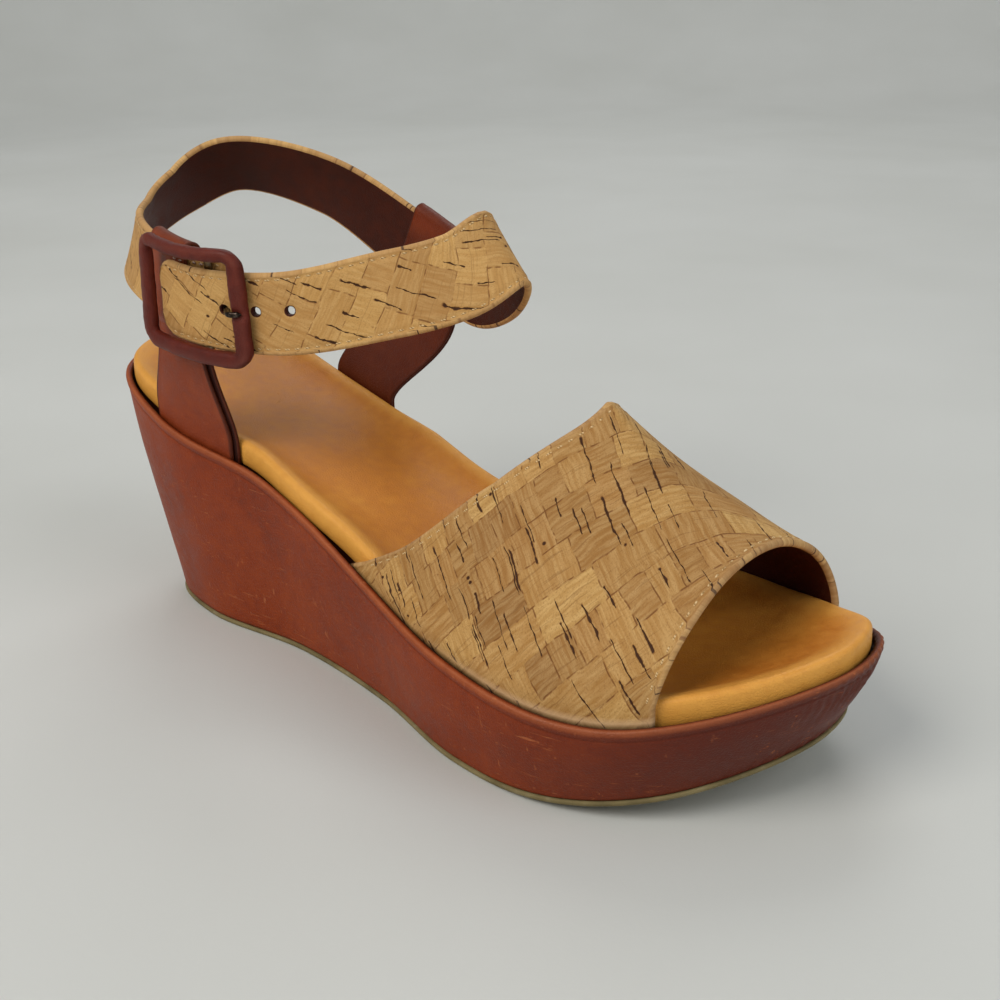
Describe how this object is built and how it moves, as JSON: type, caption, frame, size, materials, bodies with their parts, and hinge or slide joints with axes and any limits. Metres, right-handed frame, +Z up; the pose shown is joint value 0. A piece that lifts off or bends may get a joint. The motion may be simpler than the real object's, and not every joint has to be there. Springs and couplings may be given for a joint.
{
  "type": "platform sandal",
  "caption": "Right platform wedge sandal with an open toe, a broad cork toe strap, a buckled cork ankle strap, leather side tabs and a leather covered wedge.",
  "frame": {"origin": "on the floor at the middle of the heel's tread", "axes": "+X towards the toe along the shoe's length, +Y to the inner (medial) side, +Z up"},
  "size_m": [0.2462, 0.0946, 0.1367],
  "materials": {
    "outsole_rubber": "matt olive tan rubber",
    "wedge_leather": "waxed red brown leather, lightly scuffed, darker at the toe",
    "footbed_leather": "smooth tan leather with a slight gloss at its edge",
    "cork": "cork sheet on cloth, patchwork of grain with dark flecks",
    "tab_leather": "satin red brown leather",
    "buckle_leather": "dark brown leather stretched over a metal frame",
    "prong_metal": "dark burnished metal"
  },
  "bodies": {
    "root": {"outsole": "outsole_rubber", "wedge": "wedge_leather", "footbed": "footbed_leather", "vamp": "cork", "ankle_strap": "cork", "tab_lateral": "tab_leather", "tab_medial": "tab_leather", "buckle_frame": "buckle_leather", "buckle_prong": "prong_metal"}
  },
  "joints": []
}
